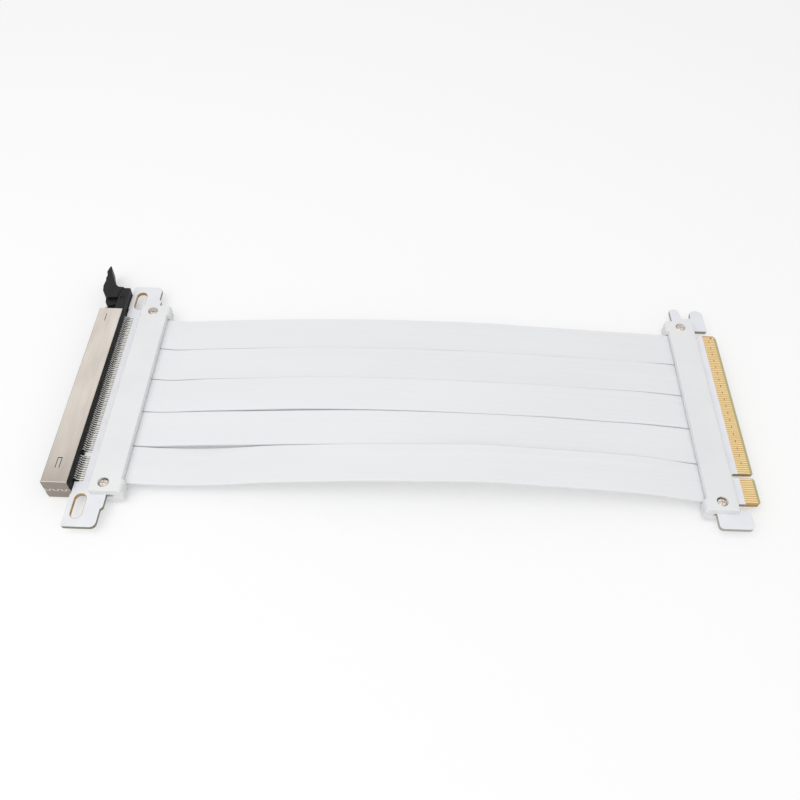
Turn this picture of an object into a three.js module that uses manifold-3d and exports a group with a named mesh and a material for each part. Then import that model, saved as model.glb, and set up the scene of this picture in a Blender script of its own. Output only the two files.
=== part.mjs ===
// A riser cable for a graphics card: a right-angle x16 slot, five flat ribbons, and a plug card.
// Millimetres, +Z up. X runs from the slot's mouth to the plug's tip, and Y along the rows of contacts.
import * as THREE from "three";
import { mergeVertices } from "three/addons/utils/BufferGeometryUtils.js";
import Module from "manifold-3d";

// The rows of contacts, shared by the slot and the plug
const contactPitch = 1;
const contactsBeforeKey = 11;
const contactsAfterKey = 71;
const keyToContact = 1.5;
const cardMargin = 1.1; // card edge beyond the middle of the last contact
const cardThickness = 1.57;

// The boards
const boardThickness = 1.6;
const boardCornerRadius = 2;

// The slot: x = 0 is the middle of the column of solder tails nearest the housing
const mouthX = -10.6;
const shieldFrontX = -10.2;
const shieldRearX = -0.6;
const slotHeight = 10.8;
const sheetThickness = 0.3;
const shieldFit = 0.05;
const cardClearance = 0.17;
const cardDepth = 8.2;
const keyRibWidth = 1.6;
const housingNearMargin = 4.4; // shield end beyond the first contact
const housingFarMargin = 2.3;
const tailWidth = 0.45;
const shortFoot = 2.1;
const longFoot = 3.3;

// The contact springs in the slot's mouth
const springWidth = 0.45;
const springThickness = 0.25;
const springReach = 5.4; // from the slot's root towards its mouth
const springBow = 4; // from the root to the line where the spring touches the card
const springRise = 1;
const channelHalf = 2.3;
const channelFront = 1.9; // behind the mouth

// The latch and its cradle
const latchHeight = 8.8;
const latchFoot = 5.2;
const pivotX = -2.6;
const pivotFromShield = 7.2;
const pivotRadius = 0.8;
const pivotClearance = 0.25;
const cradleGap = 0.4;
const cheekThickness = 1.5;
const cradleLength = 13.2;
const cradleRearX = -0.3;
const cradleFloor = 0.6;

// The tabs of the socket board
const boardFrontX = 0.3;
const tabFrontX = 0;
const tabRearX = 12.65;
const tabRootX = 13.55;
const tabReach = 20; // beyond the last contact
const slotFromRow = 11.25;
const slotLength = 10.4;
const slotWidth = 4.4;
const slotX = 4.4;

// The clamps that hold the ribbons on each board
const clampHeight = 8;
const clampMargin = 6.2; // clamp end beyond the last contact
const clampWall = 1.2;
const clampRoof = 0.9;
const clampRadius = 1.6;
const clampLip = 1; // the end posts stand out this far beyond the ribbon mouth
const partingGap = 0.2;
const socketClampWidth = 12.5;
const plugClampWidth = 12.1;
const socketClampFaceX = 19.7;
const boardInClamp = 4.1; // board edge behind the ribbon face of the clamp
const plugClampShift = 0.6;
const plugClampStart = 1.3; // ribbon face of the plug's clamp, from where the card is measured

// The screws
const screwFromRow = 2.6;
const socketScrewInset = 7.3;
const plugScrewInset = 6.3;
const headRadius = 1.9;
const headHeight = 1.1;
const headSink = 0.45;
const shankRadius = 0.95;
const shankLength = 5.6;
const screwClearance = 0.12;
const crossWidth = 0.5;

// The ribbons
const ribbonSpan = 217.9; // between the two clamps
const ribbonCount = 5;
const ribbonThickness = 1.2;
const ribbonGap = 0.2;
const ribbonMargin = 0.45; // outer ribbon edge beyond the last contact
const plugExitHeight = 0.6; // the ribbons leave the plug's clamp above the board's mid-plane
const mouthClearance = 0.3;
const jacketGap = 0.6; // the cut end of the jacket stays this far from the board
const leadsPerSide = 3;
const leadWidth = 1.6;
const leadThickness = 0.4;
const leadLength = 3.2;

// The plug card, measured from plugX
const cardRoot = 14.8;
const fingerStart = 17.5;
const fingerEnd = 22.6;
const cardTip = 23.5;
const fingerWidth = 0.7;
const platingThickness = 0.05;
const notchWidth = 1.9;
const bevelLength = 1.2;
const bevelDepth = 0.45;

const contactCount = contactsBeforeKey + contactsAfterKey;
const rowHalf = ((contactCount - 2) * contactPitch + 2 * keyToContact) / 2;
const keyY = -rowHalf + (contactsBeforeKey - 1) * contactPitch + keyToContact;
const cardHalf = rowHalf + cardMargin;
const boardHalf = boardThickness / 2;
const clampHalf = rowHalf + clampMargin;
const ribbonHalf = rowHalf + ribbonMargin;
const shieldNearY = -rowHalf - housingNearMargin;
const shieldFarY = rowHalf + housingFarMargin;
const plugClampFaceX = socketClampFaceX + ribbonSpan;
const plugX = plugClampFaceX - plugClampStart;

const paint = {
  blackPlastic: { color: 0x16171a, roughness: 0.55, metalness: 0 },
  nickelSilver: { color: 0xb3a48e, roughness: 0.38, metalness: 1 },
  whiteBoard: { color: 0xe9eaee, roughness: 0.4, metalness: 0 },
  whitePlastic: { color: 0xf0f1f3, roughness: 0.5, metalness: 0 },
  whiteJacket: { color: 0xeeeff2, roughness: 0.55, metalness: 0 },
  steel: { color: 0x9c958b, roughness: 0.3, metalness: 1 },
};

const wasm = await Module();
wasm.setup();

// Turns a closed geometry into a solid that can be joined and cut.
function solid(geometry) {
  const bare = geometry.clone();
  bare.deleteAttribute("normal");
  bare.deleteAttribute("uv");
  const merged = mergeVertices(bare, 1e-4);
  const vertProperties = new Float32Array(merged.attributes.position.array);
  const triVerts = new Uint32Array(merged.index.array);
  return new wasm.Manifold(new wasm.Mesh({ numProp: 3, vertProperties, triVerts }));
}

function join(solids) {
  return solids.reduce((sum, next) => sum.add(next));
}

function cut(body, tools) {
  return tools.reduce((left, tool) => left.subtract(tool), body);
}

function toMesh(name, body, finish) {
  const data = body.getMesh();
  const indexed = new THREE.BufferGeometry();
  indexed.setAttribute("position", new THREE.BufferAttribute(data.vertProperties, 3));
  indexed.setIndex(new THREE.BufferAttribute(data.triVerts, 1));
  const geometry = indexed.toNonIndexed();
  geometry.computeVertexNormals();
  const mesh = new THREE.Mesh(geometry, new THREE.MeshStandardMaterial(finish));
  mesh.name = name;
  return mesh;
}

// A closed outline through corners [x, y, radius]; a corner with a radius is rounded by an arc.
function outline(corners, arcSteps = 3) {
  const points = [];
  corners.forEach(([x, y, radius = 0], index) => {
    const here = new THREE.Vector2(x, y);
    if (radius === 0) {
      points.push(here);
      return;
    }
    const before = corners[(index + corners.length - 1) % corners.length];
    const after = corners[(index + 1) % corners.length];
    const toBefore = new THREE.Vector2(before[0], before[1]).sub(here).normalize();
    const toAfter = new THREE.Vector2(after[0], after[1]).sub(here).normalize();
    const halfAngle = Math.acos(THREE.MathUtils.clamp(toBefore.dot(toAfter), -1, 1)) / 2;
    const toCentre = toBefore.clone().add(toAfter).normalize();
    const centre = toCentre.multiplyScalar(radius / Math.sin(halfAngle)).add(here);
    const start = toBefore.multiplyScalar(radius / Math.tan(halfAngle)).add(here).sub(centre);
    const end = toAfter.multiplyScalar(radius / Math.tan(halfAngle)).add(here).sub(centre);
    const turn = Math.atan2(start.cross(end), start.dot(end));
    for (let step = 0; step <= arcSteps; step++) {
      const angle = (turn * step) / arcSteps;
      points.push(start.clone().rotateAround(new THREE.Vector2(), angle).add(centre));
    }
  });
  return new THREE.Shape(points);
}

// A plan outline in X and Y, raised from zLow to zHigh, with edges rounded by edge.
function plate(shape, zLow, zHigh, edge = 0) {
  const geometry = new THREE.ExtrudeGeometry(shape, extrusion(zHigh - zLow, edge));
  geometry.translate(0, 0, zLow + edge);
  return solid(geometry);
}

// A side outline in X and Z, run along Y from yLow to yHigh.
function rail(shape, yLow, yHigh, edge = 0) {
  const geometry = new THREE.ExtrudeGeometry(shape, extrusion(yHigh - yLow, edge));
  geometry.rotateX(Math.PI / 2);
  geometry.translate(0, yHigh - edge, 0);
  return solid(geometry);
}

function extrusion(length, edge) {
  return {
    depth: length - 2 * edge,
    steps: 1,
    bevelEnabled: edge > 0,
    bevelThickness: edge,
    bevelSize: edge,
    bevelOffset: -edge,
    bevelSegments: 1,
  };
}

function box(xLow, xHigh, yLow, yHigh, zLow, zHigh) {
  const geometry = new THREE.BoxGeometry(xHigh - xLow, yHigh - yLow, zHigh - zLow);
  geometry.translate((xLow + xHigh) / 2, (yLow + yHigh) / 2, (zLow + zHigh) / 2);
  return solid(geometry);
}

// An upright round bar.
function bar(x, y, radius, zLow, zHigh, sides = 16) {
  const geometry = new THREE.CylinderGeometry(radius, radius, zHigh - zLow, sides);
  geometry.rotateX(Math.PI / 2);
  geometry.translate(x, y, (zLow + zHigh) / 2);
  return solid(geometry);
}

// An oblong hole along Y.
function oblong(x, y, width, length, zLow, zHigh) {
  const radius = width / 2;
  const corners = [
    [x - radius, y - length / 2, radius],
    [x + radius, y - length / 2, radius],
    [x + radius, y + length / 2, radius],
    [x - radius, y + length / 2, radius],
  ];
  return plate(outline(corners, 6), zLow, zHigh);
}

function mirrored(corners) {
  return corners.map(([x, y, radius]) => [x, -y, radius]);
}

function contactY(index) {
  const step = index < contactsBeforeKey ? index : index - contactsBeforeKey;
  const start = index < contactsBeforeKey ? -rowHalf : keyY + keyToContact;
  return start + step * contactPitch;
}

const contactRow = Array.from({ length: contactCount }, (_, index) => contactY(index));

// The solder tail of one contact steps down from the housing to the board.
// side is 1 for the upper row and -1 for the lower one.
function contactTail(y, side, footX) {
  const tailTop = boardHalf + 1.5;
  const tail = [
    [-0.8, tailTop],
    [0.5, tailTop],
    [1.05, boardHalf + 0.28],
    [footX, boardHalf + 0.28],
    [footX, boardHalf],
    [0.8, boardHalf],
    [0.3, tailTop - 0.3],
    [-0.8, tailTop - 0.3],
  ];
  const shape = outline(tail.map(([x, z]) => [x, z * side]));
  return rail(shape, y - tailWidth / 2, y + tailWidth / 2);
}

// The spring of one contact bows from the slot's root to the card's face, and its tip bends away.
function contactSpring(y, side, rootX) {
  const touch = cardThickness / 2 + 0.02;
  const spring = [
    [rootX, channelHalf - 0.1],
    [rootX - springBow, touch + springThickness],
    [rootX - springReach, touch + springRise],
    [rootX - springBow, touch],
    [rootX, channelHalf - 0.1 - springThickness * 1.4],
  ];
  const shape = outline(spring.map(([x, z]) => [x, z * side]));
  return rail(shape, y - springWidth / 2, y + springWidth / 2);
}

// The black body of the slot, with its contacts pressed in.
function socketHousing() {
  const half = slotHeight / 2 - sheetThickness - shieldFit;
  const neckHalf = half - 0.9;
  const upper = [
    [mouthX, half - 0.3],
    [mouthX + 0.4, half],
    [shieldRearX - 0.1, half],
    [0, 3.1],
  ];
  const bodyNearY = shieldNearY + sheetThickness + shieldFit;
  const bodyFarY = shieldFarY - sheetThickness - shieldFit;
  const body = rail(outline([...upper, ...mirrored(upper).reverse()]), bodyNearY, bodyFarY);

  // The mouth has a lead-in, and the key rib is what is left between its two lengths.
  const gap = cardThickness / 2 + cardClearance;
  const backX = mouthX + cardDepth;
  const mouth = [
    [mouthX - 1, gap + 0.8],
    [mouthX, gap + 0.8],
    [mouthX + 0.9, gap],
    [backX, gap],
  ];
  const mouthShape = outline([...mouth, ...mirrored(mouth).reverse()]);
  const mouthHalf = cardHalf + 0.25;
  const mouths = [
    rail(mouthShape, -mouthHalf, keyY - keyRibWidth / 2),
    rail(mouthShape, keyY + keyRibWidth / 2, mouthHalf),
  ];

  // Behind the lead-in a channel in each wall leaves room for the springs to bend.
  const channelX = [mouthX + channelFront, backX - 0.3];
  const channels = [
    box(...channelX, -mouthHalf, keyY - keyRibWidth / 2, -channelHalf, channelHalf),
    box(...channelX, keyY + keyRibWidth / 2, mouthHalf, -channelHalf, channelHalf),
  ];

  // The end block goes through the shield's window and carries the latch cradle.
  const blockX = mouthX + 1.95;
  const neck = box(blockX, cradleRearX, bodyFarY - 1, shieldFarY + shieldFit, -neckHalf, neckHalf);
  const cheekHalf = latchHeight / 2 + 0.1;
  const cheekX = pivotX - 1.8;
  const cradleEnd = shieldFarY + cradleLength;
  const stop = shieldFarY + shieldFit + 0.85;
  const cradlePlan = outline([
    [blockX, shieldFarY + shieldFit],
    [blockX, stop],
    [cheekX, stop],
    [cheekX, cradleEnd - 3.3],
    [cheekX + 1.3, cradleEnd],
    [cradleRearX, cradleEnd],
    [cradleRearX, shieldFarY + shieldFit],
  ]);
  const cradle = cut(plate(cradlePlan, -cheekHalf, cheekHalf), [
    box(
      blockX - 1,
      cradleRearX - cradleFloor,
      stop,
      cradleEnd + 1,
      cheekThickness - cheekHalf,
      cheekHalf - cheekThickness,
    ),
    bar(pivotX, shieldFarY + pivotFromShield, pivotRadius + pivotClearance, -cheekHalf - 1, cheekHalf + 1),
  ]);

  // A small nub behind the key parts the two groups of tails.
  const nub = box(-0.4, 0.9, keyY - 0.5, keyY + 0.5, boardHalf + 0.1, boardHalf + 1.6);

  const contacts = contactRow.flatMap((y, index) => {
    const footX = index % 2 === 0 ? longFoot : shortFoot;
    return [1, -1].flatMap((side) => [contactTail(y, side, footX), contactSpring(y, side, backX)]);
  });
  const moulded = cut(join([body, neck, cradle, nub]), [...mouths, ...channels]);
  return toMesh("socket_housing", join([moulded, ...contacts]), paint.blackPlastic);
}

// A sheet folded round the housing, with a window at the far end for the latch cradle.
function socketShield() {
  const half = slotHeight / 2;
  const ring = (inset, xLow, xHigh) => {
    const radius = sheetThickness * 1.5 - inset;
    const shape = outline([
      [shieldNearY + inset, -half + inset, radius],
      [shieldFarY - inset, -half + inset, radius],
      [shieldFarY - inset, half - inset, radius],
      [shieldNearY + inset, half - inset, radius],
    ]);
    const geometry = new THREE.ExtrudeGeometry(shape, extrusion(xHigh - xLow, 0));
    geometry.rotateX(Math.PI / 2);
    geometry.rotateZ(Math.PI / 2);
    geometry.translate(xLow, 0, 0);
    return solid(geometry);
  };
  const windowHalf = half - sheetThickness - 0.75;
  const window = box(
    shieldFrontX + 1.3,
    shieldRearX + 1,
    shieldFarY - 1,
    shieldFarY + 1,
    -windowHalf,
    windowHalf,
  );
  // A tongue near the key is slit on three sides in the top and bottom of the sheet, and one slit marks
  // its far end.
  const tongueLength = 4.4;
  const tongueWidth = 1.5;
  const slit = 0.25;
  const tongues = [keyY - 5, rowHalf - 1].flatMap((y) =>
    [half, -half].flatMap((z) => {
      const x = shieldFrontX + 3.5;
      const firstSlit = box(x, x + slit, y - tongueLength, y, z - 1, z + 1);
      if (y > keyY) {
        return [firstSlit];
      }
      return [
        firstSlit,
        box(x + tongueWidth, x + tongueWidth + slit, y - tongueLength, y, z - 1, z + 1),
        box(x, x + tongueWidth + slit, y, y + slit * 1.6, z - 1, z + 1),
      ];
    }),
  );
  const sheet = cut(ring(0, shieldFrontX, shieldRearX), [
    ring(sheetThickness, shieldFrontX - 1, shieldRearX + 1),
    window,
    ...tongues,
  ]);
  return toMesh("socket_shield", sheet, paint.nickelSilver);
}

// The retention lever, drawn open: a foot between the cheeks, a wide head, and a slim thumb horn.
function latchLever() {
  const pivotY = shieldFarY + pivotFromShield;
  const cheekX = pivotX - 1.8;
  const cradleEnd = shieldFarY + cradleLength;
  const at = (x, y, radius) => [pivotX + x, pivotY + y, radius];
  const beyond = (x, y, radius) => [pivotX + x, cradleEnd + y, radius];
  const footPlan = outline([
    at(0, -1.4, 1.3),
    at(-2.7, -2.4, 0.6),
    at(-6.3, -3.5, 0.8),
    at(-7.6, -1.4, 0.8),
    at(-8.2, 2.6),
    at(-5, 5),
    at(-1.4, 1.6, 0.4),
    at(1.4, 1.4, 1.3),
    at(1.4, -1.4, 1.3),
  ]);
  const headPlan = outline([
    [cheekX - cradleGap, pivotY + 0.6, 0.3],
    [cheekX - cradleGap, cradleEnd - 3.2],
    [cheekX + 1.3 - cradleGap, cradleEnd + 0.25, 0.3],
    [pivotX - 0.6, cradleEnd + 0.8, 0.3],
    beyond(-3.5, 1.1, 0.6),
    beyond(-4.6, 2.2, 1),
    beyond(-7.6, 7.4, 1.5),
    beyond(-10.7, 7.2, 1),
    beyond(-9.9, 4.9, 1.2),
    beyond(-10.3, 1.6, 1.5),
    at(-9.7, 4.2, 1),
    at(-8, 1.4, 0.8),
    at(-6.4, 0.4, 0.8),
  ]);
  const hornPlan = outline([
    beyond(-6.2, 4.4),
    beyond(-7.2, 7.3, 1),
    beyond(-8.8, 10.9, 1),
    beyond(-10.1, 15, 0.2),
    beyond(-10.6, 14.8, 0.2),
    beyond(-11.3, 11.4, 1),
    beyond(-10.6, 9.3, 0.8),
    beyond(-10.7, 7.2),
    beyond(-9.6, 4.6),
  ]);
  const lever = join([
    plate(footPlan, -latchFoot / 2, latchFoot / 2),
    plate(headPlan, -latchHeight / 2, latchHeight / 2, 0.2),
    plate(hornPlan, -latchHeight / 2 + 1.2, latchHeight / 2 - 1.2),
    bar(pivotX, pivotY, pivotRadius, -latchHeight / 2, latchHeight / 2),
  ]);
  return toMesh("latch_lever", lever, paint.blackPlastic);
}

// The white board behind the slot, with an oblong mounting slot in each tab.
function socketBoard() {
  const tabEnd = rowHalf + tabReach;
  const stepY = tabEnd - 8.6;
  const insideEnd = clampHalf - 1.2;
  const boardEdge = socketClampFaceX - boardInClamp;
  const farHalf = [
    [boardEdge, insideEnd],
    [tabRootX, insideEnd],
    [tabRootX, stepY, 0.6],
    [tabRearX, stepY + 1, 0.6],
    [tabRearX, tabEnd, boardCornerRadius],
    [tabFrontX, tabEnd, 1],
    [tabFrontX, clampHalf],
    [boardFrontX, clampHalf],
  ];
  const plan = outline([...farHalf, ...mirrored(farHalf).reverse()]);
  const slotY = rowHalf + slotFromRow;
  const holes = [1, -1].flatMap((end) => [
    oblong(slotX, end * slotY, slotWidth, slotLength, -2, 2),
    screwHole(socketClampFaceX - socketScrewInset, end * (rowHalf + screwFromRow)),
  ]);
  return toMesh("socket_pcb", cut(plate(plan, -boardHalf, boardHalf), holes), paint.whiteBoard);
}

function screwHole(x, y) {
  return bar(x, y, shankRadius + 0.3, -2, 2);
}

// One shell of a clamp. into is 1 where the board lies toward +X of the ribbon face, else -1;
// up is 1 for the top shell and -1 for the bottom one; exit is the ribbons' height at the mouth.
function clampShell(name, { faceX, into, width, inset, y: middleY, exit }, up) {
  const x = (depth) => faceX + into * depth;
  const span = (depthA, depthB, yLow, yHigh, zA, zB) =>
    box(
      Math.min(x(depthA), x(depthB)),
      Math.max(x(depthA), x(depthB)),
      middleY + yLow,
      middleY + yHigh,
      Math.min(zA * up, zB * up),
      Math.max(zA * up, zB * up),
    );
  const top = clampHeight / 2;
  const profile = outline([
    [x(0), (partingGap / 2) * up],
    [x(0), top * up, clampRadius],
    [x(width), top * up, 0.5],
    [x(width), (partingGap / 2) * up],
  ]);
  const block = rail(profile, middleY - clampHalf, middleY + clampHalf, 0.4);
  const mouthLow = -ribbonHalf - mouthClearance - middleY;
  const mouthHigh = ribbonHalf + mouthClearance - middleY;
  const mouthTop = ribbonThickness / 2 + mouthClearance + Math.max(exit * up, 0);
  const screwY = rowHalf + screwFromRow;
  const seat = top - headSink - headHeight;
  const tools = [
    span(boardInClamp - 0.3, width + 1, -clampHalf - 1, clampHalf + 1, 0, boardHalf),
    span(clampLip + clampWall, width - clampWall, mouthLow, mouthHigh, 0, top - clampRoof),
    span(-1, clampLip, mouthLow, mouthHigh, 0, top + 1),
    span(0, clampLip + clampWall + 1, mouthLow, mouthHigh, 0, mouthTop),
  ];
  for (const end of [1, -1]) {
    const y = middleY + end * screwY;
    const screwX = x(inset);
    if (up > 0) {
      tools.push(bar(screwX, y, headRadius + 0.25, seat, top + 1, 24));
      tools.push(bar(screwX, y, shankRadius + screwClearance, -1, top));
    } else {
      tools.push(bar(screwX, y, shankRadius + screwClearance, seat - shankLength - 0.3, 1));
    }
  }
  return toMesh(name, cut(block, tools), paint.whitePlastic);
}

// A pan-head screw with a cross recess, its head on the floor of the counterbore.
function screw(name, x, y) {
  const seat = clampHeight / 2 - headSink - headHeight;
  const profile = [
    [0, seat - shankLength],
    [shankRadius * 0.5, seat - shankLength],
    [shankRadius, seat - shankLength + 0.9],
    [shankRadius, seat],
    [headRadius, seat],
    [headRadius, seat + headHeight * 0.45],
    [headRadius * 0.75, seat + headHeight * 0.85],
    [0, seat + headHeight],
  ].map(([radius, z]) => new THREE.Vector2(radius, z));
  const lathe = new THREE.LatheGeometry(profile, 14);
  lathe.rotateX(Math.PI / 2);
  lathe.translate(x, y, 0);
  const arm = headRadius * 0.6;
  const floor = seat + headHeight * 0.35;
  const cross = [
    box(x - arm, x + arm, y - crossWidth / 2, y + crossWidth / 2, floor, seat + 2),
    box(x - crossWidth / 2, x + crossWidth / 2, y - arm, y + arm, floor, seat + 2),
  ];
  return toMesh(name, cut(solid(lathe), cross), paint.steel);
}

// Height of each ribbon's middle above the boards' mid-plane, at shares of the way between the clamps.
const ribbonHeights = [
  [
    [0.03, -0.5], [0.08, 0.4], [0.15, 1.7], [0.27, 3.5], [0.39, 4.6],
    [0.51, 5], [0.63, 4.7], [0.745, 3.4], [0.87, 2], [0.945, 1.3],
  ],
  [
    [0.03, -0.4], [0.085, 0.9], [0.16, 2.2], [0.28, 4.3], [0.39, 5.2],
    [0.51, 5.6], [0.625, 5.3], [0.74, 4.3], [0.86, 2.9], [0.935, 2.1],
  ],
  [
    [0.035, -0.2], [0.095, 1.4], [0.175, 3], [0.285, 5.2], [0.4, 6.2],
    [0.51, 6.3], [0.62, 5.9], [0.735, 5.1], [0.85, 3.5], [0.925, 2.6],
  ],
  [
    [0.035, -0.2], [0.11, 1.1], [0.185, 2.7], [0.295, 4.8], [0.405, 6.2],
    [0.51, 6.5], [0.62, 6.3], [0.73, 5.5], [0.84, 3.9], [0.915, 2.9],
  ],
  [
    [0.04, -0.4], [0.125, 0.2], [0.195, 1.6], [0.3, 5], [0.41, 7.2],
    [0.515, 8.4], [0.615, 9.4], [0.72, 8.1], [0.83, 6.4], [0.905, 4.7],
  ],
];

// A flat ribbon from board to board, with its stripped conductors soldered to both faces of each.
function ribbon(index) {
  const startX = socketClampFaceX - boardInClamp + jacketGap;
  const endX = plugClampFaceX + boardInClamp - jacketGap;
  const route = [
    [startX, 0],
    [socketClampFaceX, 0],
    ...ribbonHeights[index].map(([share, height]) => [socketClampFaceX + share * ribbonSpan, height]),
    [plugClampFaceX, plugExitHeight],
    [endX, 0],
  ].map(([x, z]) => new THREE.Vector3(x, 0, z));
  const curve = new THREE.CatmullRomCurve3(route, false, "centripetal");
  const steps = 30;
  const above = [];
  const below = [];
  for (let step = 0; step <= steps; step++) {
    const point = curve.getPointAt(step / steps);
    const along = curve.getTangentAt(step / steps);
    const half = ribbonThickness / 2;
    above.push([point.x - along.z * half, point.z + along.x * half]);
    below.push([point.x + along.z * half, point.z - along.x * half]);
  }
  const width = (2 * ribbonHalf - (ribbonCount - 1) * ribbonGap) / ribbonCount;
  const farY = ribbonHalf - index * (width + ribbonGap);
  const strip = rail(outline([...above, ...below.reverse()]), farY - width, farY);
  const conductors = [...leads(startX, -1, farY, width), ...leads(endX, 1, farY, width)];
  return toMesh("ribbon_" + (index + 1), join([strip, ...conductors]), paint.whiteJacket);
}

// Conductors step from the jacket's cut end to the board's faces. away is the way they run.
function leads(jacketX, away, farY, width) {
  const shape = [
    [-0.3, 0.15],
    [0, 0.15],
    [jacketGap - 0.1, boardHalf],
    [leadLength, boardHalf],
    [leadLength, boardHalf + leadThickness],
    [jacketGap - 0.3, boardHalf + leadThickness],
    [-0.3, 0.15 + leadThickness],
  ];
  const pitch = width / leadsPerSide;
  const pieces = [];
  for (let index = 0; index < leadsPerSide; index++) {
    const y = farY - pitch * (index + 0.5);
    for (const side of [1, -1]) {
      const plan = outline(shape.map(([depth, z]) => [jacketX + away * depth, z * side]));
      pieces.push(rail(plan, y - leadWidth / 2, y + leadWidth / 2));
    }
  }
  return pieces;
}

// The plug card: the x16 edge with its fingers, the forked ears and hook, and the near tab.
function plugBoard() {
  const x = (inset) => plugX + inset;
  const farEnd = clampHalf + plugClampShift;
  const nearEnd = clampHalf - plugClampShift;
  const hookGap = 2.7;
  const nearGap = 3;
  const boardEdge = plugClampStart + boardInClamp;
  const plan = outline([
    [x(boardEdge), -nearEnd + 1.2],
    [x(5.8), -nearEnd + 1.2],
    [x(5.8), -cardHalf - 10.8, 1.4],
    [x(18.8), -cardHalf - 10.8, 1.8],
    [x(18.8), -cardHalf - nearGap, 1.6],
    [x(cardRoot), -cardHalf - nearGap, 0.4],
    [x(cardRoot), -cardHalf, 0.4],
    [x(cardTip - 1.2), -cardHalf],
    [x(cardTip), -cardHalf + 1.2],
    [x(cardTip), keyY - notchWidth / 2 - 0.6],
    [x(cardTip - 0.6), keyY - notchWidth / 2],
    [x(cardRoot + 0.2), keyY - notchWidth / 2, 0.9],
    [x(cardRoot + 0.2), keyY + notchWidth / 2, 0.9],
    [x(cardTip - 0.6), keyY + notchWidth / 2],
    [x(cardTip), keyY + notchWidth / 2 + 0.6],
    [x(cardTip), cardHalf - 1.2],
    [x(cardTip - 1.2), cardHalf],
    [x(14.4), cardHalf, 0.5],
    [x(14.4), cardHalf + hookGap, 0.5],
    [x(20.2), cardHalf + hookGap, 0.4],
    [x(20.1), cardHalf + 14, 1.5],
    [x(17.4), cardHalf + 15.2, 1.2],
    [x(14.6), cardHalf + 14.3, 1.6],
    [x(14.2), cardHalf + 10, 0.8],
    [x(10.4), cardHalf + 10, 0.8],
    [x(9.5), cardHalf + 15.7, 1.4],
    [x(5.6), cardHalf + 15.7, 1.4],
    [x(5.8), farEnd - 1.2],
    [x(boardEdge), farEnd - 1.2],
  ]);
  const tip = x(cardTip);
  const bevel = (side) =>
    rail(
      outline([
        [tip - bevelLength, boardHalf * side],
        [tip + 0.1, (boardHalf - bevelDepth * (1 + 0.1 / bevelLength)) * side],
        [tip + 0.1, (boardHalf + 1) * side],
        [tip - bevelLength, (boardHalf + 1) * side],
      ]),
      -cardHalf - 1,
      cardHalf + 1,
    );
  const screwY = rowHalf + screwFromRow;
  const screwX = plugClampFaceX + plugScrewInset;
  const holes = [1, -1].map((end) => screwHole(screwX, plugClampShift + end * screwY));
  const fingers = contactRow.map((y) =>
    box(
      x(fingerStart),
      x(Math.min(fingerEnd, cardTip - bevelLength)),
      y - fingerWidth / 2,
      y + fingerWidth / 2,
      -boardHalf - platingThickness,
      boardHalf + platingThickness,
    ),
  );
  const card = cut(plate(plan, -boardHalf, boardHalf), [bevel(1), bevel(-1), ...holes]);
  return toMesh("plug_pcb", join([card, ...fingers]), paint.whiteBoard);
}

const riser = new THREE.Group();
riser.add(socketHousing());
riser.add(socketShield());
riser.add(latchLever());
riser.add(socketBoard());
riser.add(plugBoard());
const ends = [
  {
    name: "socket",
    faceX: socketClampFaceX,
    into: -1,
    width: socketClampWidth,
    inset: socketScrewInset,
    y: 0,
    exit: 0,
  },
  {
    name: "plug",
    faceX: plugClampFaceX,
    into: 1,
    width: plugClampWidth,
    inset: plugScrewInset,
    y: plugClampShift,
    exit: plugExitHeight,
  },
];
for (const end of ends) {
  for (const [layer, up] of [["top", 1], ["bottom", -1]]) {
    const name = end.name + "_clamp_" + layer;
    riser.add(clampShell(name, end, up));
  }
  for (const [place, sign] of [["near", -1], ["far", 1]]) {
    const screwX = end.faceX + end.into * end.inset;
    riser.add(screw(end.name + "_screw_" + place, screwX, end.y + sign * (rowHalf + screwFromRow)));
  }
}
for (let index = 0; index < ribbonCount; index++) {
  riser.add(ribbon(index));
}

// The origin is the middle of the bottom of the whole part's box.
const bounds = new THREE.Box3().setFromObject(riser, true);
const middle = bounds.getCenter(new THREE.Vector3());
riser.position.set(-middle.x, -middle.y, -bounds.min.z);

const part = new THREE.Group();
part.add(riser);
export default part;
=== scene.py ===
import math

import bmesh
import bpy
from mathutils import Matrix, Vector


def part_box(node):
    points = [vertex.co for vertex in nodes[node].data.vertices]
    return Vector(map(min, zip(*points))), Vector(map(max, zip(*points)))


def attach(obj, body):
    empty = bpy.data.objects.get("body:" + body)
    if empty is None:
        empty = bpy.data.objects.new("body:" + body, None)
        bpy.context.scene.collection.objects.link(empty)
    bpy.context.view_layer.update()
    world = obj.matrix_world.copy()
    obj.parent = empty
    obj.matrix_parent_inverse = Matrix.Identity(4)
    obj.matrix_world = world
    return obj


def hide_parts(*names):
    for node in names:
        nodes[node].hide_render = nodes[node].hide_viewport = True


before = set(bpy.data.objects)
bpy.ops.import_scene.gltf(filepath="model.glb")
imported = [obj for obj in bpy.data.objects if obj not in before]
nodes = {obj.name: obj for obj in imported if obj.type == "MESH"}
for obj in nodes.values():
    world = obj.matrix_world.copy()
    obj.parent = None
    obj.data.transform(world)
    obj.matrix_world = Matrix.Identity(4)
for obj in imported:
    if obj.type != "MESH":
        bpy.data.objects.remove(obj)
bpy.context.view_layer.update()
mm = 0.001

# The board gives the origin of the maker's sizes: x from its front edge, y from the middle
# of the contact rows, and z from the middle of its thickness.
boardLow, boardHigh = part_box("socket_pcb")
originX = boardLow[0]
originY = (boardLow[1] + boardHigh[1]) / 2
originZ = (boardLow[2] + boardHigh[2]) / 2

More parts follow.
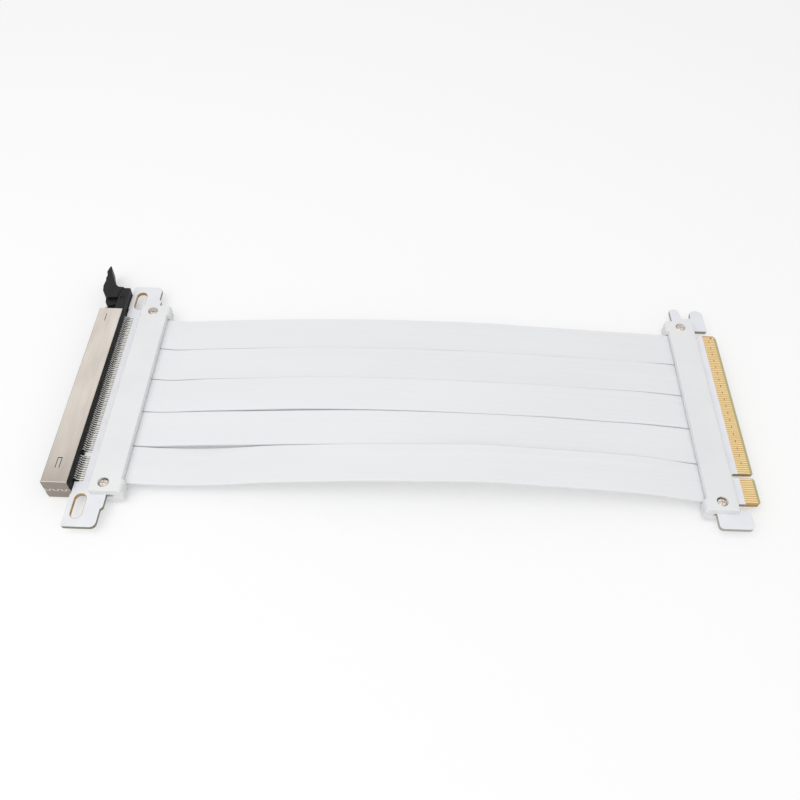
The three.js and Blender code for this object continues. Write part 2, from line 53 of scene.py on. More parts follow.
rows = {
    "pitch": 1.0,
    "beforeKey": 11,
    "afterKey": 71,
    "keyToContact": 1.5,
    "keyClear": 0.9,
    "boardHalf": 0.8,
}
contactSteps = rows["beforeKey"] + rows["afterKey"] - 2
rowHalf = contactSteps * rows["pitch"] / 2 + rows["keyToContact"]
keyY = -rowHalf + (rows["beforeKey"] - 1) * rows["pitch"] + rows["keyToContact"]


def at(x, y, z):
    return Vector((originX + x * mm, originY + y * mm, originZ + z * mm))


# camera
cameraSetup = {
    "place": (123.65, -205.17, 269.14),
    "yaw": -0.0071,
    "pitch": 0.9142,
    "roll": 0.0274,
    "focalPixels": 826.14,
    "imageWidth": 800,
    "sensor": 36.0,
    "clipStart": 0.01,
}


def makeCamera(setup):
    yaw, pitch, roll = setup["yaw"], setup["pitch"], setup["roll"]
    level = math.cos(pitch)
    forward = Vector((math.sin(yaw) * level, math.cos(yaw) * level, -math.sin(pitch)))
    right = Vector((math.cos(yaw), -math.sin(yaw), 0))
    up = right.cross(forward)
    rolledRight = math.cos(roll) * right + math.sin(roll) * up
    rolledUp = math.cos(roll) * up - math.sin(roll) * right
    data = bpy.data.cameras.new("camera")
    data.sensor_width = setup["sensor"]
    data.lens = setup["focalPixels"] / setup["imageWidth"] * setup["sensor"]
    data.clip_start = setup["clipStart"]
    camera = bpy.data.objects.new("camera", data)
    turn = Matrix((rolledRight, rolledUp, -forward)).transposed().to_4x4()
    camera.matrix_world = Matrix.Translation(at(*setup["place"])) @ turn
    bpy.context.scene.collection.objects.link(camera)
    bpy.context.scene.camera = camera


makeCamera(cameraSetup)
print("camera set")


# shader helpers
class Wire:
    # one output socket; arithmetic on it adds Math nodes
    def __init__(self, look, socket):
        self.look = look
        self.socket = socket

    def calc(self, operation, *others):
        values = dict(enumerate((self, *others)))
        return self.look.add("ShaderNodeMath", {"operation": operation}, values)

    def __add__(self, other):
        return self.calc("ADD", other)

    def __sub__(self, other):
        return self.calc("SUBTRACT", other)

    def __mul__(self, other):
        return self.calc("MULTIPLY", other)

    def __truediv__(self, other):
        return self.calc("DIVIDE", other)

    def __gt__(self, other):
        return self.calc("GREATER_THAN", other)

    def __lt__(self, other):
        return self.calc("LESS_THAN", other)

    def __radd__(self, other):
        return self.calc("ADD", other)

    def __rmul__(self, other):
        return self.calc("MULTIPLY", other)

    def __rsub__(self, other):
        return self.look.add("ShaderNodeMath", {"operation": "SUBTRACT"}, {0: other, 1: self})

    def __abs__(self):
        return self.calc("ABSOLUTE")


class Look:
    # the nodes of one material or of the world, with the adder that every pattern goes through
    def __init__(self, owner):
        self.owner = owner
        owner.use_nodes = True
        self.tree = owner.node_tree
        self.tree.nodes.clear()

    def add(self, kind, settings=None, values=None, out=0):
        node = self.tree.nodes.new(kind)
        for key, value in (settings or {}).items():
            if key == "stops":
                ramp = node.color_ramp
                while len(ramp.elements) < len(value):
                    ramp.elements.new(0.5)
                for element, (position, colour) in zip(ramp.elements, value):
                    element.position = position
                    element.color = (*colour, 1)
            else:
                setattr(node, key, value)
        for key, value in (values or {}).items():
            socket = node.inputs[key]
            if isinstance(value, Wire):
                self.tree.links.new(value.socket, socket)
            elif socket.type == "RGBA" and len(value) == 3:
                socket.default_value = (*value, 1)
            else:
                socket.default_value = value
        return Wire(self, node.outputs[out]) if node.outputs else None

    def position(self):
        # object coordinates as x, y and z in millimetres from the maker's origin
        point = self.add("ShaderNodeTexCoord", out="Object")
        parts = [self.add("ShaderNodeSeparateXYZ", None, {0: point}, out=i) for i in range(3)]
        return [(part - start) * 1000.0 for part, start in zip(parts, (originX, originY, originZ))]

    def facing(self, axis):
        # how far the surface faces along one axis, from -1 to 1
        normal = self.add("ShaderNodeNewGeometry", out="Normal")
        return self.add("ShaderNodeSeparateXYZ", None, {0: normal}, out=axis)

    def vector(self, x, y, z):
        return self.add("ShaderNodeCombineXYZ", None, {0: x, 1: y, 2: z})

    def noise(self, place, scale, detail=3.0, roughness=0.5):
        values = {"Vector": place, "Scale": scale, "Detail": detail, "Roughness": roughness}
        return self.add("ShaderNodeTexNoise", None, values)

    def ramp(self, factor, stops):
        return self.add("ShaderNodeValToRGB", {"stops": stops}, {0: factor})

    def blend(self, factor, first, second):
        values = {0: factor, 6: first, 7: second}
        return self.add("ShaderNodeMix", {"data_type": "RGBA"}, values, out=2)

    def bump(self, height, distance, strength=1.0):
        values = {"Height": height, "Distance": distance, "Strength": strength}
        return self.add("ShaderNodeBump", None, values)

    def surface(self, values):
        shader = self.add("ShaderNodeBsdfPrincipled", None, values)
        self.add("ShaderNodeOutputMaterial", None, {0: shader})
        return self.owner

    def seenDirectly(self):
        # 1 for the rays of the camera and for those through reflections and glass
        seen = self.add("ShaderNodeLightPath", out="Is Camera Ray")
        for ray in ("Is Glossy Ray", "Is Transmission Ray"):
            seen = seen.calc("MAXIMUM", self.add("ShaderNodeLightPath", out=ray))
        return seen


def newLook(name):
    return Look(bpy.data.materials.new(name))


def between(value, low, high):
    return (value > low) * (value < high)


def contactComb(y, halfWidth):
    # 1 on each contact's middle line, 0 between them, with the key's gap left out
    pitch = rows["pitch"]
    near = ((y + rowHalf) / pitch + 0.5).calc("FRACT")
    far = ((y - keyY - rows["keyToContact"]) / pitch + 0.5).calc("FRACT")
    onNear = abs(near - 0.5) < halfWidth / pitch
    onFar = abs(far - 0.5) < halfWidth / pitch
    isNear = y < keyY
    inRow = (abs(y) < rowHalf + pitch / 2) * (abs(y - keyY) > rows["keyClear"])
    return (onNear * isNear + onFar * (1 - isNear)) * inRow


# ribbons
ribbonSetup = {
    "count": 5,
    "thickness": 1.2,
    "gap": 0.2,
    "margin": 0.45,
    "clampFaceX": 19.7,
    "span": 217.9,
    "plugExit": 0.6,
    "insideClamp": 3.5,
    "ribs": 20,
    "linesPerRib": 3,
    "ribDepth": 0.03,
    "edgeRounding": 0.5,
    "edgeSteps": 3,
    "edgeAngle": 50,
    "samplesPerStretch": 4,
    # middle of each ribbon above the boards' mid-plane, at shares of the way between the clamps
    "heights": [
        [
            (0.03, -0.5), (0.08, 0.4), (0.15, 1.7), (0.27, 3.5), (0.39, 4.6),
            (0.51, 5), (0.63, 4.7), (0.745, 3.4), (0.87, 2), (0.945, 1.3),
        ],
        [
            (0.03, -0.4), (0.085, 0.9), (0.16, 2.2), (0.28, 4.3), (0.39, 5.2),
            (0.51, 5.6), (0.625, 5.3), (0.74, 4.3), (0.86, 2.9), (0.935, 2.1),
        ],
        [
            (0.035, -0.2), (0.095, 1.4), (0.175, 3), (0.285, 5.2), (0.4, 6.2),
            (0.51, 6.3), (0.62, 5.9), (0.735, 5.1), (0.85, 3.5), (0.925, 2.6),
        ],
        [
            (0.035, 0.1), (0.11, 1.7), (0.185, 2.9), (0.295, 4.8), (0.405, 6.2),
            (0.51, 6.5), (0.62, 6.3), (0.73, 5.5), (0.84, 3.9), (0.915, 2.9),
        ],
        [
            (0.04, -0.4), (0.115, 0.1), (0.17, 1.3), (0.235, 3.6), (0.3, 5.1), (0.41, 7.2),
            (0.515, 8.4), (0.615, 9.4), (0.72, 8.1), (0.83, 6.4), (0.905, 4.7),
        ],
    ],
}


def mixed(p, q, start, end, t):
    return p * ((end - t) / (end - start)) + q * ((t - start) / (end - start))


def smoothRoute(anchors, samples):
    # a centripetal curve through the anchors
    ends = [2 * anchors[0] - anchors[1], *anchors, 2 * anchors[-1] - anchors[-2]]
    points = []
    for a, b, c, d in zip(ends, ends[1:], ends[2:], ends[3:]):
        knots = [0.0]
        for first, second in ((a, b), (b, c), (c, d)):
            knots.append(knots[-1] + math.sqrt((second - first).length))
        for step in range(samples):
            t = knots[1] + (knots[2] - knots[1]) * step / samples
            ab = mixed(a, b, knots[0], knots[1], t)
            bc = mixed(b, c, knots[1], knots[2], t)
            cd = mixed(c, d, knots[2], knots[3], t)
            abc = mixed(ab, bc, knots[0], knots[2], t)
            bcd = mixed(bc, cd, knots[1], knots[3], t)
            points.append(mixed(abc, bcd, knots[1], knots[2], t))
    return points + [anchors[-1]]


def linkPiece(name, mesh, body, slot, material, *replaced):
    piece = bpy.data.objects.new(name, mesh)
    bpy.context.scene.collection.objects.link(piece)
    mesh.materials.clear()
    mesh.materials.append(material)
    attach(piece, body)
    if replaced:
        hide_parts(*replaced)
    return piece


def ribbonWidth(setup):
    half = rowHalf + setup["margin"]
    return (2 * half - (setup["count"] - 1) * setup["gap"]) / setup["count"]


jacketSetup = {
    "low": (0.80, 0.81, 0.83),
    "high": (0.86, 0.87, 0.885),
    # painted shade colour for the strips where two ribbons meet
    "seam": (0.60, 0.61, 0.63),
    "seamWidth": 0.3,
    "outerEdge": 1.0,
    "lineStretch": (0.002, 2.6),
    "cloudStretch": (0.012, 0.05, 0.05),
    "lineShare": 0.55,
    "roughness": 0.42,
    "roughnessSpread": 0.12,
    "specular": 0.45,
    "grainScale": 2.2,
    "grainShare": 0.2,
    "bumpHeight": 0.00004,
    "bumpStrength": 0.6,
}


def jacketLook(setup, ribbon):
    look = newLook("white_jacket")
    x, y, z = look.position()
    # each ribbon's fine lines run along it, with a slow change of tone between them
    alongLine, acrossLine = setup["lineStretch"]
    lines = look.noise(look.vector(x * alongLine, y * acrossLine, 0.0), 1.0, 2.0)
    cloudX, cloudY, cloudZ = setup["cloudStretch"]
    broad = look.noise(look.vector(x * cloudX, y * cloudY, z * cloudZ), 1.0, 2.0)
    tone = lines * setup["lineShare"] + broad * (1 - setup["lineShare"])
    colour = look.ramp(tone, [(0.3, setup["low"]), (0.7, setup["high"])])
    # painted shade: the surface is darker along the narrow strips where two ribbons meet
    pitch = ribbonWidth(ribbon) + ribbon["gap"]
    half = rowHalf + ribbon["margin"]
    share = ((half + ribbon["gap"] / 2 - y) / pitch).calc("FRACT")
    fromRibbonGap = (0.5 - abs(share - 0.5)) * pitch
    seam = (fromRibbonGap < setup["seamWidth"]) * (abs(y) < half - setup["outerEdge"])
    grain = look.noise(look.vector(x, y, z), setup["grainScale"], 2.0)
    height = lines * (1 - setup["grainShare"]) + grain * setup["grainShare"]
    return look.surface({
        "Base Color": look.blend(seam, colour, setup["seam"]),
        "Roughness": lines * setup["roughnessSpread"] + setup["roughness"],
        "Specular IOR Level": setup["specular"],
        "Normal": look.bump(height, setup["bumpHeight"], setup["bumpStrength"]),
    })


def makeRibbon(index, setup, material):
    startX = setup["clampFaceX"] - setup["insideClamp"]
    endX = setup["clampFaceX"] + setup["span"] + setup["insideClamp"]
    half = rowHalf + setup["margin"]
    width = ribbonWidth(setup)
    middleY = half - index * (width + setup["gap"]) - width / 2
    anchors = [at(startX, middleY, 0), at(setup["clampFaceX"], middleY, 0)]
    for share, height in setup["heights"][index]:
        anchors.append(at(setup["clampFaceX"] + share * setup["span"], middleY, height))
    anchors.append(at(setup["clampFaceX"] + setup["span"], middleY, setup["plugExit"]))
    anchors.append(at(endX, middleY, 0))
    path = smoothRoute(anchors, setup["samplesPerStretch"])
    bm = bmesh.new()
    across = setup["ribs"] * setup["linesPerRib"]
    bmesh.ops.create_grid(bm, x_segments=len(path) - 1, y_segments=across, size=0.5)
    for vertex in bm.verts:
        step = round((vertex.co.x + 0.5) * (len(path) - 1))
        line = round((vertex.co.y + 0.5) * across)
        before, after = path[max(step - 1, 0)], path[min(step + 1, len(path) - 1)]
        along = (after - before).normalized()
        upward = Vector((-along.z, 0, along.x))
        isGroove = line % setup["linesPerRib"] == 0 and 0 < line < across
        sink = setup["ribDepth"] if isGroove else 0
        offset = upward * ((setup["thickness"] / 2 - sink) * mm)
        vertex.co = path[step] + offset + Vector((0, vertex.co.y * width * mm, 0))
    for face in bm.faces:
        face.smooth = True
    mesh = bpy.data.meshes.new("ribbon")
    bm.to_mesh(mesh)
    bm.free()
    number = str(index + 1)
    piece = linkPiece("jacket_" + number, mesh, "cable", "white_jacket", material, "ribbon_" + number)
    wall = piece.modifiers.new("wall", "SOLIDIFY")
    wall.thickness = setup["thickness"] * mm
    wall.offset = -1
    softEdge = piece.modifiers.new("soft edge", "BEVEL")
    softEdge.width = setup["edgeRounding"] * mm
    softEdge.segments = setup["edgeSteps"]
    softEdge.limit_method = "ANGLE"
    softEdge.angle_limit = math.radians(setup["edgeAngle"])
    length = sum((b - a).length for a, b in zip(path, path[1:]))
    width * mm
    return length


jacket = jacketLook(jacketSetup, ribbonSetup)
lengths = [makeRibbon(index, ribbonSetup, jacket) for index in range(ribbonSetup["count"])]
print("ribbons made, lengths in mm:", [round(length / mm, 1) for length in lengths])


# looks
shellSetup = {
    "low": (0.79, 0.795, 0.805),
    "high": (0.835, 0.838, 0.845),
    "cloudScale": 0.06,
    "grainScale": 5.0,
    "roughness": 0.36,
    "roughnessSpread": 0.14,
    "specular": 0.5,
    "bumpHeight": 0.00002,
    "bumpStrength": 0.5,
}


def shellLook(setup):
    look = newLook("white_shell")
    place = look.vector(*look.position())
    cloud = look.noise(place, setup["cloudScale"], 2.0)
    grain = look.noise(place, setup["grainScale"], 2.0)
    return look.surface({
        "Base Color": look.ramp(cloud, [(0.3, setup["low"]), (0.75, setup["high"])]),
        "Roughness": grain * setup["roughnessSpread"] + setup["roughness"],
        "Specular IOR Level": setup["specular"],
        "Normal": look.bump(grain, setup["bumpHeight"], setup["bumpStrength"]),
    })


metalCloud = (0.2, 0.05, 0.2)


def metalPattern(look, setup):
    # colour and roughness of a drawn metal, with streaks along its own direction
    x, y, z = look.position()
    streakX, streakY, streakZ = setup["streak"]
    cloudX, cloudY, cloudZ = metalCloud
    lines = look.noise(look.vector(x * streakX, y * streakY, z * streakZ), 1.0, 4.0, 0.6)
    cloud = look.noise(look.vector(x * cloudX, y * cloudY, z * cloudZ), 1.0, 3.0)
    mixture = lines * 0.5 + cloud * 0.5
    colour = look.ramp(mixture, [(0.35, setup["dark"]), (0.65, setup["light"])])
    smoothest, dullest = setup["roughness"]
    return colour, lines * (dullest - smoothest) + smoothest


shieldSetup = {
    "dark": (0.60, 0.545, 0.485),
    "light": (0.74, 0.69, 0.63),
    "streak": (3.0, 0.02, 3.0),
    "roughness": (0.26, 0.44),
    # painted shade: colours and share of the darkening towards the near end and on the end face
    "nearShade": (0.34, 0.30, 0.26),
    "nearShadeShare": 0.7,
    "nearY": -45.9,
    "endFaceShade": (0.31, 0.275, 0.24),
    "seamStartX": -9.9,
    "seamWidth": 0.16,
    "seamStep": 0.55,
    "seamPitch": 3.1,
    "riserShare": 0.04,
    # painted highlight: near white colour of the seam's edges
    "seamHighlight": (0.97, 0.93, 0.88),
    "endDepth": 0.05,
    "bumpHeight": 0.0002,
    "bumpStrength": 0.6,
}


def shieldLook(setup):
    look = newLook("nickel_silver")
    x, y, z = look.position()
    colour, rough = metalPattern(look, setup)
    # painted shade: the sheet is darker towards its near end, and its end face, facing the near side,
    # is darker still
    nearness = (y / setup["nearY"]).calc("MAXIMUM", 0.0)
    colour = look.blend(nearness * nearness * setup["nearShadeShare"], colour, setup["nearShade"])
    colour = look.blend(look.facing("Y") < -0.5, colour, setup["endFaceShade"])
    # the two folds of the sheet meet in a dovetailed seam on the near end, drawn near white as a
    # painted highlight along its edges
    phase = ((x - setup["seamStartX"]) / setup["seamPitch"]).calc("FRACT")
    middle = (phase > 0.5) * (2 * setup["seamStep"]) - setup["seamStep"]
    onStep = abs(z - middle) < setup["seamWidth"] / 2
    fromMiddle = abs(phase - 0.5)
    riser = (fromMiddle < setup["riserShare"]) + (fromMiddle > 0.5 - setup["riserShare"])
    onRiser = (riser > 0.5) * (abs(z) < setup["seamStep"])
    onEnd = y < setup["nearY"] + setup["endDepth"]
    seam = ((onStep + onRiser) > 0.5) * onEnd
    return look.surface({
        "Base Color": look.blend(seam, colour, setup["seamHighlight"]),
        "Metallic": 1.0,
        "Roughness": rough,
        "Normal": look.bump(1 - seam, setup["bumpHeight"], setup["bumpStrength"]),
    })


blackSetup = {
    "low": (0.006, 0.006, 0.007),
    "high": (0.013, 0.013, 0.015),
    "cloudScale": 0.35,
    "grainScale": 6.0,
    "roughness": 0.42,
    "roughnessSpread": 0.15,
    "specular": 0.24,
    "bumpHeight": 0.00003,
    "bumpStrength": 0.5,
}
contactSetup = {
    "halfWidth": 0.24,
    "tailStartX": 0.02,
    "springStartX": -8.5,
    "springEndX": -2.42,
    "mouthHalf": 2.26,
    "tinLow": (0.70, 0.68, 0.64),
    "tinHigh": (0.88, 0.87, 0.84),
    "tinScale": 1.2,
    "gilding": (0.86, 0.62, 0.30),
    "smoother": 0.16,
}


def blackLook(name, setup, contacts=None):
    look = newLook(name)
    x, y, z = look.position()
    place = look.vector(x, y, z)
    cloud = look.noise(place, setup["cloudScale"], 3.0)
    grain = look.noise(place, setup["grainScale"], 2.0)
    colour = look.ramp(cloud, [(0.3, setup["low"]), (0.7, setup["high"])])
    rough = grain * setup["roughnessSpread"] + setup["roughness"]
    metal = 0.0
    if contacts:
        # contacts pressed into the plastic: tinned tails behind it, gilded springs in its mouth
        onContact = contactComb(y, contacts["halfWidth"])
        isTail = onContact * (x > contacts["tailStartX"])
        inMouth = between(x, contacts["springStartX"], contacts["springEndX"])
        isSpring = onContact * inMouth * (abs(z) < contacts["mouthHalf"])
        cloudyTin = look.noise(place, contacts["tinScale"], 2.0)
        tin = look.ramp(cloudyTin, [(0.3, contacts["tinLow"]), (0.7, contacts["tinHigh"])])
        colour = look.blend(isTail, colour, tin)
        colour = look.blend(isSpring, colour, contacts["gilding"])
        metal = isTail + isSpring
        rough = rough - metal * contacts["smoother"]
    return look.surface({
        "Base Color": colour,
        "Metallic": metal,
        "Roughness": rough,
        "Specular IOR Level": setup["specular"],
        "Normal": look.bump(grain, setup["bumpHeight"], setup["bumpStrength"]),
    })


boardSetup = {
    "maskLow": (0.80, 0.815, 0.85),
    "maskHigh": (0.85, 0.86, 0.885),
    "edge": (0.17, 0.155, 0.11),
    "slotWall": (0.50, 0.31, 0.14),
    "cloudScale": 0.12,
    "fibreStretch": 8.0,
    "fibreLighter": 1.6,
    "pad": (0.80, 0.79, 0.76),
    # painted shade: near black colour of the board round the pads, under the tails
    "shadeUnderTails": (0.12, 0.118, 0.115),
    "padHalfWidth": 0.3,
    "padEndX": 3.55,
    "padOverhang": 0.6,
    "padKeyGap": 1.0,
    "slotX": 4.4,
    "slotY": 52.75,
    "slotHalfWidth": 2.4,
    "slotHalfLength": 5.3,
    "slotStraight": 3.0,
    "rimRadius": 2.42,
    "rim": (0.62, 0.46, 0.28),
    "roughness": 0.24,
    "edgeDuller": 0.35,
    "cloudDuller": 0.12,
    "coat": 0.15,
    "padRelief": 2.0,
    "bumpHeight": 0.00003,
    "bumpStrength": 0.5,
}


def socketBoardLook(setup):
    look = newLook("socket_board")
    x, y, z = look.position()
    cloud = look.noise(look.vector(x, y, z), setup["cloudScale"], 2.0)
    white = look.ramp(cloud, [(0.3, setup["maskLow"]), (0.7, setup["maskHigh"])])
    fibre = look.noise(look.vector(x, y, z * setup["fibreStretch"]), 2.0, 3.0)
    lighterEdge = tuple(part * setup["fibreLighter"] for part in setup["edge"])
    edge = look.blend(fibre, setup["edge"], lighterEdge)
    slotFront = setup["slotX"] - setup["slotHalfWidth"]
    slotRear = setup["slotX"] + setup["slotHalfWidth"]
    fromSlot = abs(abs(y) - setup["slotY"])
    inSlot = between(x, slotFront, slotRear) * (fromSlot < setup["slotHalfLength"])
    wall = look.blend(inSlot, edge, setup["slotWall"])
    isEdge = abs(look.facing("Z")) < 0.5
    # a bare copper rim round each slot, and the tinned pads under the tails, with the board round the
    # pads painted near black as painted shade under the tails
    inRows = (abs(y) < rowHalf + setup["padOverhang"]) * (abs(y - keyY) > setup["padKeyGap"])
    underTails = (x < setup["padEndX"]) * inRows
    pad = contactComb(y, setup["padHalfWidth"]) * underTails
    ground = look.blend(underTails, white, setup["shadeUnderTails"])
    colour = look.blend(pad, ground, setup["pad"])
    besideSlot = (fromSlot - setup["slotStraight"]).calc("MAXIMUM", 0.0)
    acrossSlot = x - setup["slotX"]
    fromAxis = besideSlot * besideSlot + acrossSlot * acrossSlot
    colour = look.blend(fromAxis < setup["rimRadius"] ** 2, colour, setup["rim"])
    relief = cloud + pad * setup["padRelief"]
    return look.surface({
        "Base Color": look.blend(isEdge, colour, wall),
        "Metallic": pad * (1 - isEdge),
        "Roughness": isEdge * setup["edgeDuller"] + setup["roughness"] + cloud * setup["cloudDuller"],
        "Coat Weight": setup["coat"],
        "Normal": look.bump(relief, setup["bumpHeight"], setup["bumpStrength"]),
    })


plugSetup = {
    "maskLow": (0.80, 0.81, 0.86),
    "maskHigh": (0.85, 0.86, 0.895),
    "edge": (0.40, 0.38, 0.33),
    "cardEdge": (0.36, 0.28, 0.13),
    "bevel": (0.46, 0.42, 0.20),
    "bare": (0.58, 0.30, 0.11),
    "goldLow": (0.78, 0.57, 0.26),
    "goldHigh": (0.90, 0.75, 0.42),
    "cloudScale": 0.12,
    "scratchStretch": (0.2, 5.0),
    "fingerStartX": 253.8,
    "bevelStartX": 258.6,
    "cardMargin": 1.2,
    "cardEdgeReach": 3.0,
    "platingStart": 0.02,
    "markX": 256.2,
    "markHalf": 0.14,
    "markPitch": 3.5,
    "markShare": 0.3,
    "markFromKey": 3.0,
    "mark": (0.05, 0.04, 0.03),
    "holeX": 257.4,
    "holeY": 41.2,
    "holeRadius": 0.424,
    "roughness": 0.3,
    "scratchDuller": 0.1,
    "edgeDuller": 0.3,
    "cloudRelief": 0.3,
    "scratchRelief": 0.5,
    "bumpHeight": 0.00003,
    "bumpStrength": 0.5,
}


def plugBoardLook(setup):
    look = newLook("plug_board")
    x, y, z = look.position()
    cloud = look.noise(look.vector(x, y, z), setup["cloudScale"], 2.0)
    white = look.ramp(cloud, [(0.3, setup["maskLow"]), (0.7, setup["maskHigh"])])
    alongScratch, acrossScratch = setup["scratchStretch"]
    scratches = look.noise(look.vector(x * alongScratch, y * acrossScratch, z), 1.0, 3.0)
    gold = look.ramp(scratches, [(0.3, setup["goldLow"]), (0.7, setup["goldHigh"])])
    isEdge = (abs(look.facing("Z")) < 0.5) * (abs(z) < rows["boardHalf"] + setup["platingStart"] / 2)
    inCard = abs(y) < rowHalf + setup["cardMargin"]
    bare = (x > setup["fingerStartX"]) * inCard
    bevelled = (x > setup["bevelStartX"]) * inCard
    plated = (abs(z) > rows["boardHalf"] + setup["platingStart"]) * bare
    # dark dashes in a row over the fingers, and one small round hole at the row's far end
    inDash = (y / setup["markPitch"]).calc("FRACT") < setup["markShare"]
    dash = (abs(x - setup["markX"]) < setup["markHalf"]) * inDash * (y > keyY + setup["markFromKey"])
    besideX, besideY = x - setup["holeX"], y - setup["holeY"]
    hole = (besideX * besideX + besideY * besideY) < setup["holeRadius"] ** 2
    mark = ((dash + hole) > 0.5) * plated
    ground = look.blend(bare, white, setup["bare"])
    ground = look.blend(bevelled, ground, setup["bevel"])
    colour = look.blend(plated, ground, gold)
    colour = look.blend(mark, colour, setup["mark"])
    onCardEdge = (x > setup["fingerStartX"] - setup["cardEdgeReach"]) * inCard
    rim = look.blend(onCardEdge, setup["edge"], setup["cardEdge"])
    colour = look.blend(isEdge, colour, rim)
    metal = plated * (1 - mark) * (1 - isEdge)
    rough = setup["roughness"] + scratches * setup["scratchDuller"] + isEdge * setup["edgeDuller"]
    relief = cloud * setup["cloudRelief"] + scratches * metal * setup["scratchRelief"] - mark
    return look.surface({
        "Base Color": colour,
        "Metallic": metal,
        "Roughness": rough,
        "Normal": look.bump(relief, setup["bumpHeight"], setup["bumpStrength"]),
    })


screwSetup = {
    "dark": (0.54, 0.46, 0.39),
    "light": (0.86, 0.80, 0.73),
    "streak": (3.0, 3.0, 3.0),
    "roughness": (0.22, 0.42),
}


def screwLook(setup):
    look = newLook("screw_steel")
    colour, rough = metalPattern(look, setup)
    return look.surface({"Base Color": colour, "Metallic": 1.0, "Roughness": rough})


# pieces taken from the frame
copySetup = {
    "mergeDistance": 0.002,
    "flatAngle": 0.5,
    "cornerAngle": 50,
    "sharpAngle": 35,
    "flatWeight": 100,
}
rounding = {
    "shell": 0.3,
    "screw": 0.06,
    "shield": 0.05,
    "latch": 0.15,
    "board": 0.06,
}


def turnsMore(edge, degrees):
    return edge.is_manifold and edge.calc_face_angle(0) > math.radians(degrees)


def turnsLess(edge, degrees):
    return edge.is_manifold and edge.calc_face_angle(0) < math.radians(degrees)


def finished(node, name, body, slot, material, bevel=0.0, segments=2, setup=copySetup):
    # a copy of a solid with its seams merged, its corners rounded and its curves shaded smooth
    bm = bmesh.new()
    bm.from_mesh(nodes[node].data)
    bmesh.ops.remove_doubles(bm, verts=bm.verts, dist=setup["mergeDistance"] * mm)
    flat = math.radians(setup["flatAngle"])
    bmesh.ops.dissolve_limit(bm, angle_limit=flat, verts=bm.verts, edges=bm.edges)
    if bevel:
        corners = [edge for edge in bm.edges if turnsMore(edge, setup["cornerAngle"])]
        bmesh.ops.bevel(
            bm,
            geom=corners,
            offset=bevel * mm,
            offset_type="OFFSET",
            affect="EDGES",
            segments=segments,
            profile=0.5,
            clamp_overlap=True,
            material=-1,
        )
    for face in bm.faces:
        face.smooth = True
    for edge in bm.edges:
        edge.smooth = turnsLess(edge, setup["sharpAngle"])
    mesh = bpy.data.meshes.new(name)
    bm.to_mesh(mesh)
    bm.free()
    piece = linkPiece(name, mesh, body, slot, material, node)
    # large faces stay flat beside their rounded corners
    weighting = piece.modifiers.new("flat faces", "WEIGHTED_NORMAL")
    weighting.keep_sharp = True
    weighting.weight = setup["flatWeight"]


shell = shellLook(shellSetup)
for end in ("socket", "plug"):
    for layer in ("top", "bottom"):
        node, name = end + "_clamp_" + layer, end + "_shell_" + layer
        finished(node, name, "cable", "white_shell", shell, rounding["shell"], segments=3)

screwSteel = screwLook(screwSetup)
for end in ("socket", "plug"):
    for side in ("near", "far"):
        node, name = end + "_screw_" + side, end + "_bolt_" + side
        finished(node, name, "cable", "screw_steel", screwSteel, rounding["screw"])

shieldMetal = shieldLook(shieldSetup)
housingPlastic = blackLook("black_housing", blackSetup, contactSetup)
latchPlastic = blackLook("black_latch", blackSetup)
socketWhite = socketBoardLook(boardSetup)
plugWhite = plugBoardLook(plugSetup)
finished("socket_shield", "slot_shield", "cable", "nickel_silver", shieldMetal, rounding["shield"])
finished("socket_housing", "slot_housing", "cable", "black_plastic", housingPlastic)
finished("latch_lever", "latch", "latch", "black_plastic", latchPlastic, rounding["latch"])
finished("socket_pcb", "socket_board", "cable", "white_board", socketWhite, rounding["board"])
finished("plug_pcb", "plug_board", "cable", "white_board", plugWhite)


# black combs hold the tails apart on both faces of the board, in two lengths beside the key
combSetup = {
    "frontX": 0.05,
    "rearX": 1.9,
    "overhang": 0.9,
    "keyGap": 1.0,
    "clear": 0.02,
    "height": 0.2,
    "round": 0.05,
}


def makeComb(setup, side, name, material):
    bm = bmesh.new()
    ends = [
        (-rowHalf - setup["overhang"], keyY - setup["keyGap"]),
        (keyY + setup["keyGap"], rowHalf + setup["overhang"]),
    ]
    width = (setup["rearX"] - setup["frontX"]) * mm
    middleX = (setup["rearX"] + setup["frontX"]) / 2
    middleZ = side * (rows["boardHalf"] + setup["clear"] + setup["height"] / 2)
    for low, high in ends:
        bar = bmesh.ops.create_cube(bm, size=1)["verts"]
        bmesh.ops.scale(bm, vec=(width, (high - low) * mm, setup["height"] * mm), verts=bar)
        bmesh.ops.translate(bm, vec=at(middleX, (low + high) / 2, middleZ), verts=bar)
    bmesh.ops.bevel(
        bm,
        geom=bm.edges,
        offset=setup["round"] * mm,
        affect="EDGES",
        segments=2,
        profile=0.5,
        material=-1,
    )
    mesh = bpy.data.meshes.new(name)
    bm.to_mesh(mesh)
    bm.free()
    linkPiece(name, mesh, "cable", "black_plastic", material)


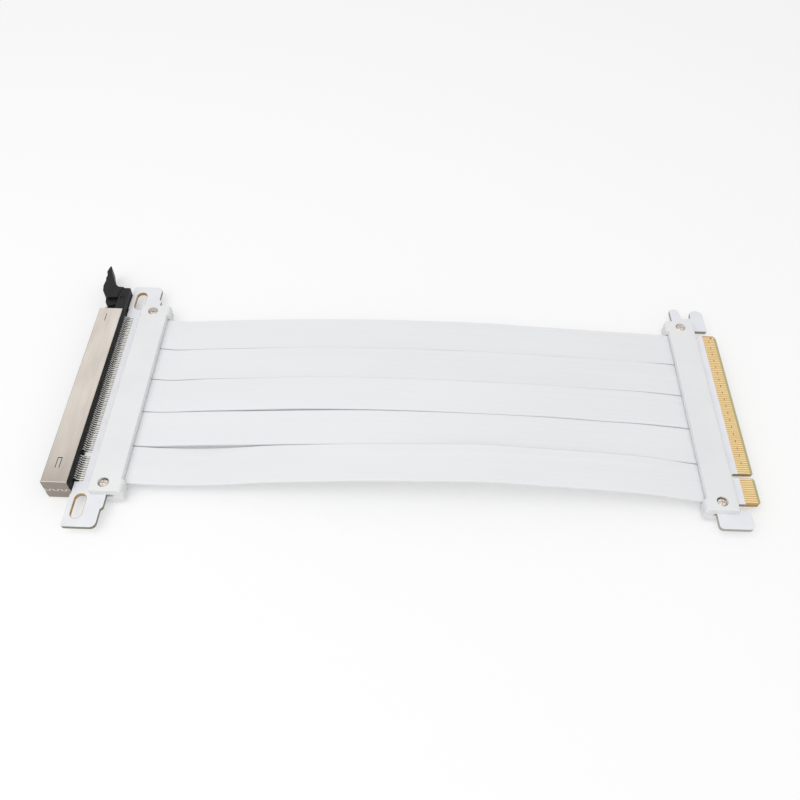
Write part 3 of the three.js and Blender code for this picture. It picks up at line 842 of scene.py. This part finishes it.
combPlastic = blackLook("black_comb", blackSetup)
makeComb(combSetup, 1, "tail_comb_top", combPlastic)
makeComb(combSetup, -1, "tail_comb_bottom", combPlastic)
print("solids dressed")


# floor, light and world
studio = {
    "floorSize": 4.0,
    "floorGlow": 0.38,
    "worldStrength": 0.66,
    "keyEnergy": 4.2,
    "keySize": 0.9,
    "keyPosition": (-0.25, -0.35, 0.9),
    "white": (1.0, 1.0, 1.0),
}


def makeFloor(setup):
    bm = bmesh.new()
    bmesh.ops.create_grid(bm, x_segments=1, y_segments=1, size=setup["floorSize"] / 2)
    mesh = bpy.data.meshes.new("floor")
    bm.to_mesh(mesh)
    bm.free()
    floor = bpy.data.objects.new("floor", mesh)
    bpy.context.scene.collection.objects.link(floor)
    look = newLook("floor")
    matte = look.add("ShaderNodeBsdfDiffuse", None, {"Color": setup["white"]})
    glow = look.add("ShaderNodeEmission", None, {"Color": setup["white"], "Strength": 1.0})
    share = look.seenDirectly() * setup["floorGlow"]
    shader = look.add("ShaderNodeMixShader", None, {0: share, 1: matte, 2: glow})
    look.add("ShaderNodeOutputMaterial", None, {0: shader})
    mesh.materials.append(look.owner)


def makeLights(setup):
    world = bpy.data.worlds.new("studio")
    bpy.context.scene.world = world
    look = Look(world)
    light = {"Color": setup["white"], "Strength": setup["worldStrength"]}
    backdrop = {"Color": setup["white"], "Strength": 1.0}
    lit = look.add("ShaderNodeBackground", None, light)
    seen = look.add("ShaderNodeBackground", None, backdrop)
    shader = look.add("ShaderNodeMixShader", None, {0: look.seenDirectly(), 1: lit, 2: seen})
    look.add("ShaderNodeOutputWorld", None, {0: shader})
    lamp = bpy.data.lights.new("key", "AREA")
    lamp.energy = setup["keyEnergy"]
    lamp.size = setup["keySize"]
    key = bpy.data.objects.new("key", lamp)
    key.location = setup["keyPosition"]
    key.rotation_euler = (-Vector(setup["keyPosition"])).to_track_quat("-Z", "Y").to_euler()
    bpy.context.scene.collection.objects.link(key)


makeFloor(studio)
makeLights(studio)
bpy.context.scene.view_settings.view_transform = "Standard"
print("studio set")
